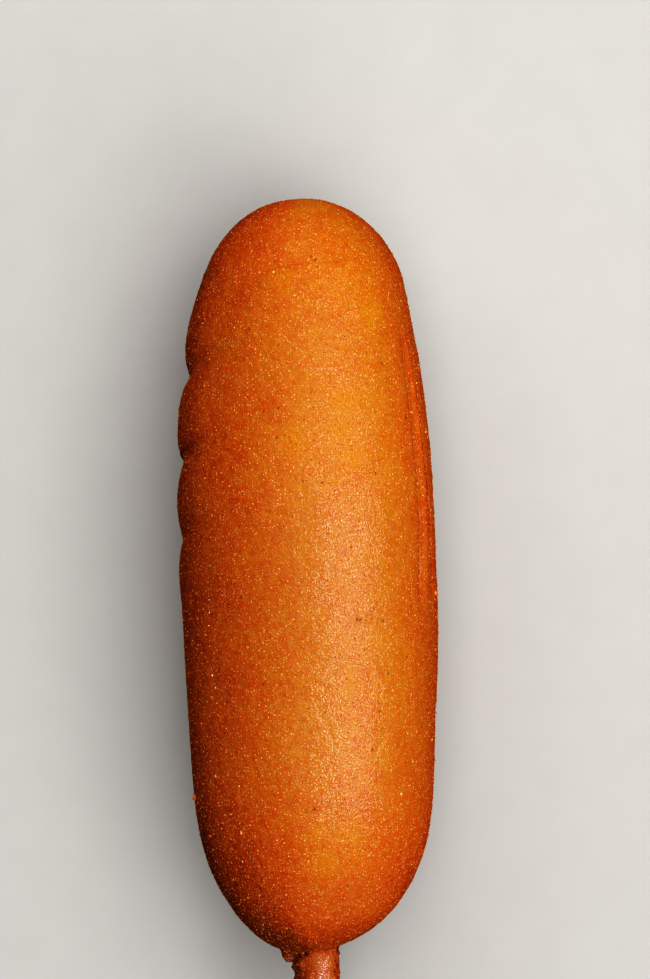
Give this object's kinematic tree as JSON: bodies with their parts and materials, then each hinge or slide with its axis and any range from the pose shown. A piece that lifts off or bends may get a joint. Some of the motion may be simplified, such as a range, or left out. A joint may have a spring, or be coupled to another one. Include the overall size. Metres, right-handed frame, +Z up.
{
  "type": "corn dog",
  "caption": "Corn dog: a long round-ended loaf of golden brown fried cornmeal batter on a round wooden stick, lying on its side.",
  "frame": {"origin": "on the resting surface, under the middle of the box round the food and its stick", "axes": "+Y along the food from the stick to the rounded tip, +Z up from the flat spot that it rests on, +X to the side with the long seam"},
  "size_m": [0.0404, 0.1796, 0.0389],
  "materials": {
    "fried_batter": "deep-fried cornmeal batter, golden brown, grainy, with a thin film of oil",
    "stick_wood": "turned birch dowel, bare, darkened by oil near the food"
  },
  "bodies": {
    "root": {"batter": "fried_batter", "stick": "stick_wood"}
  },
  "joints": []
}
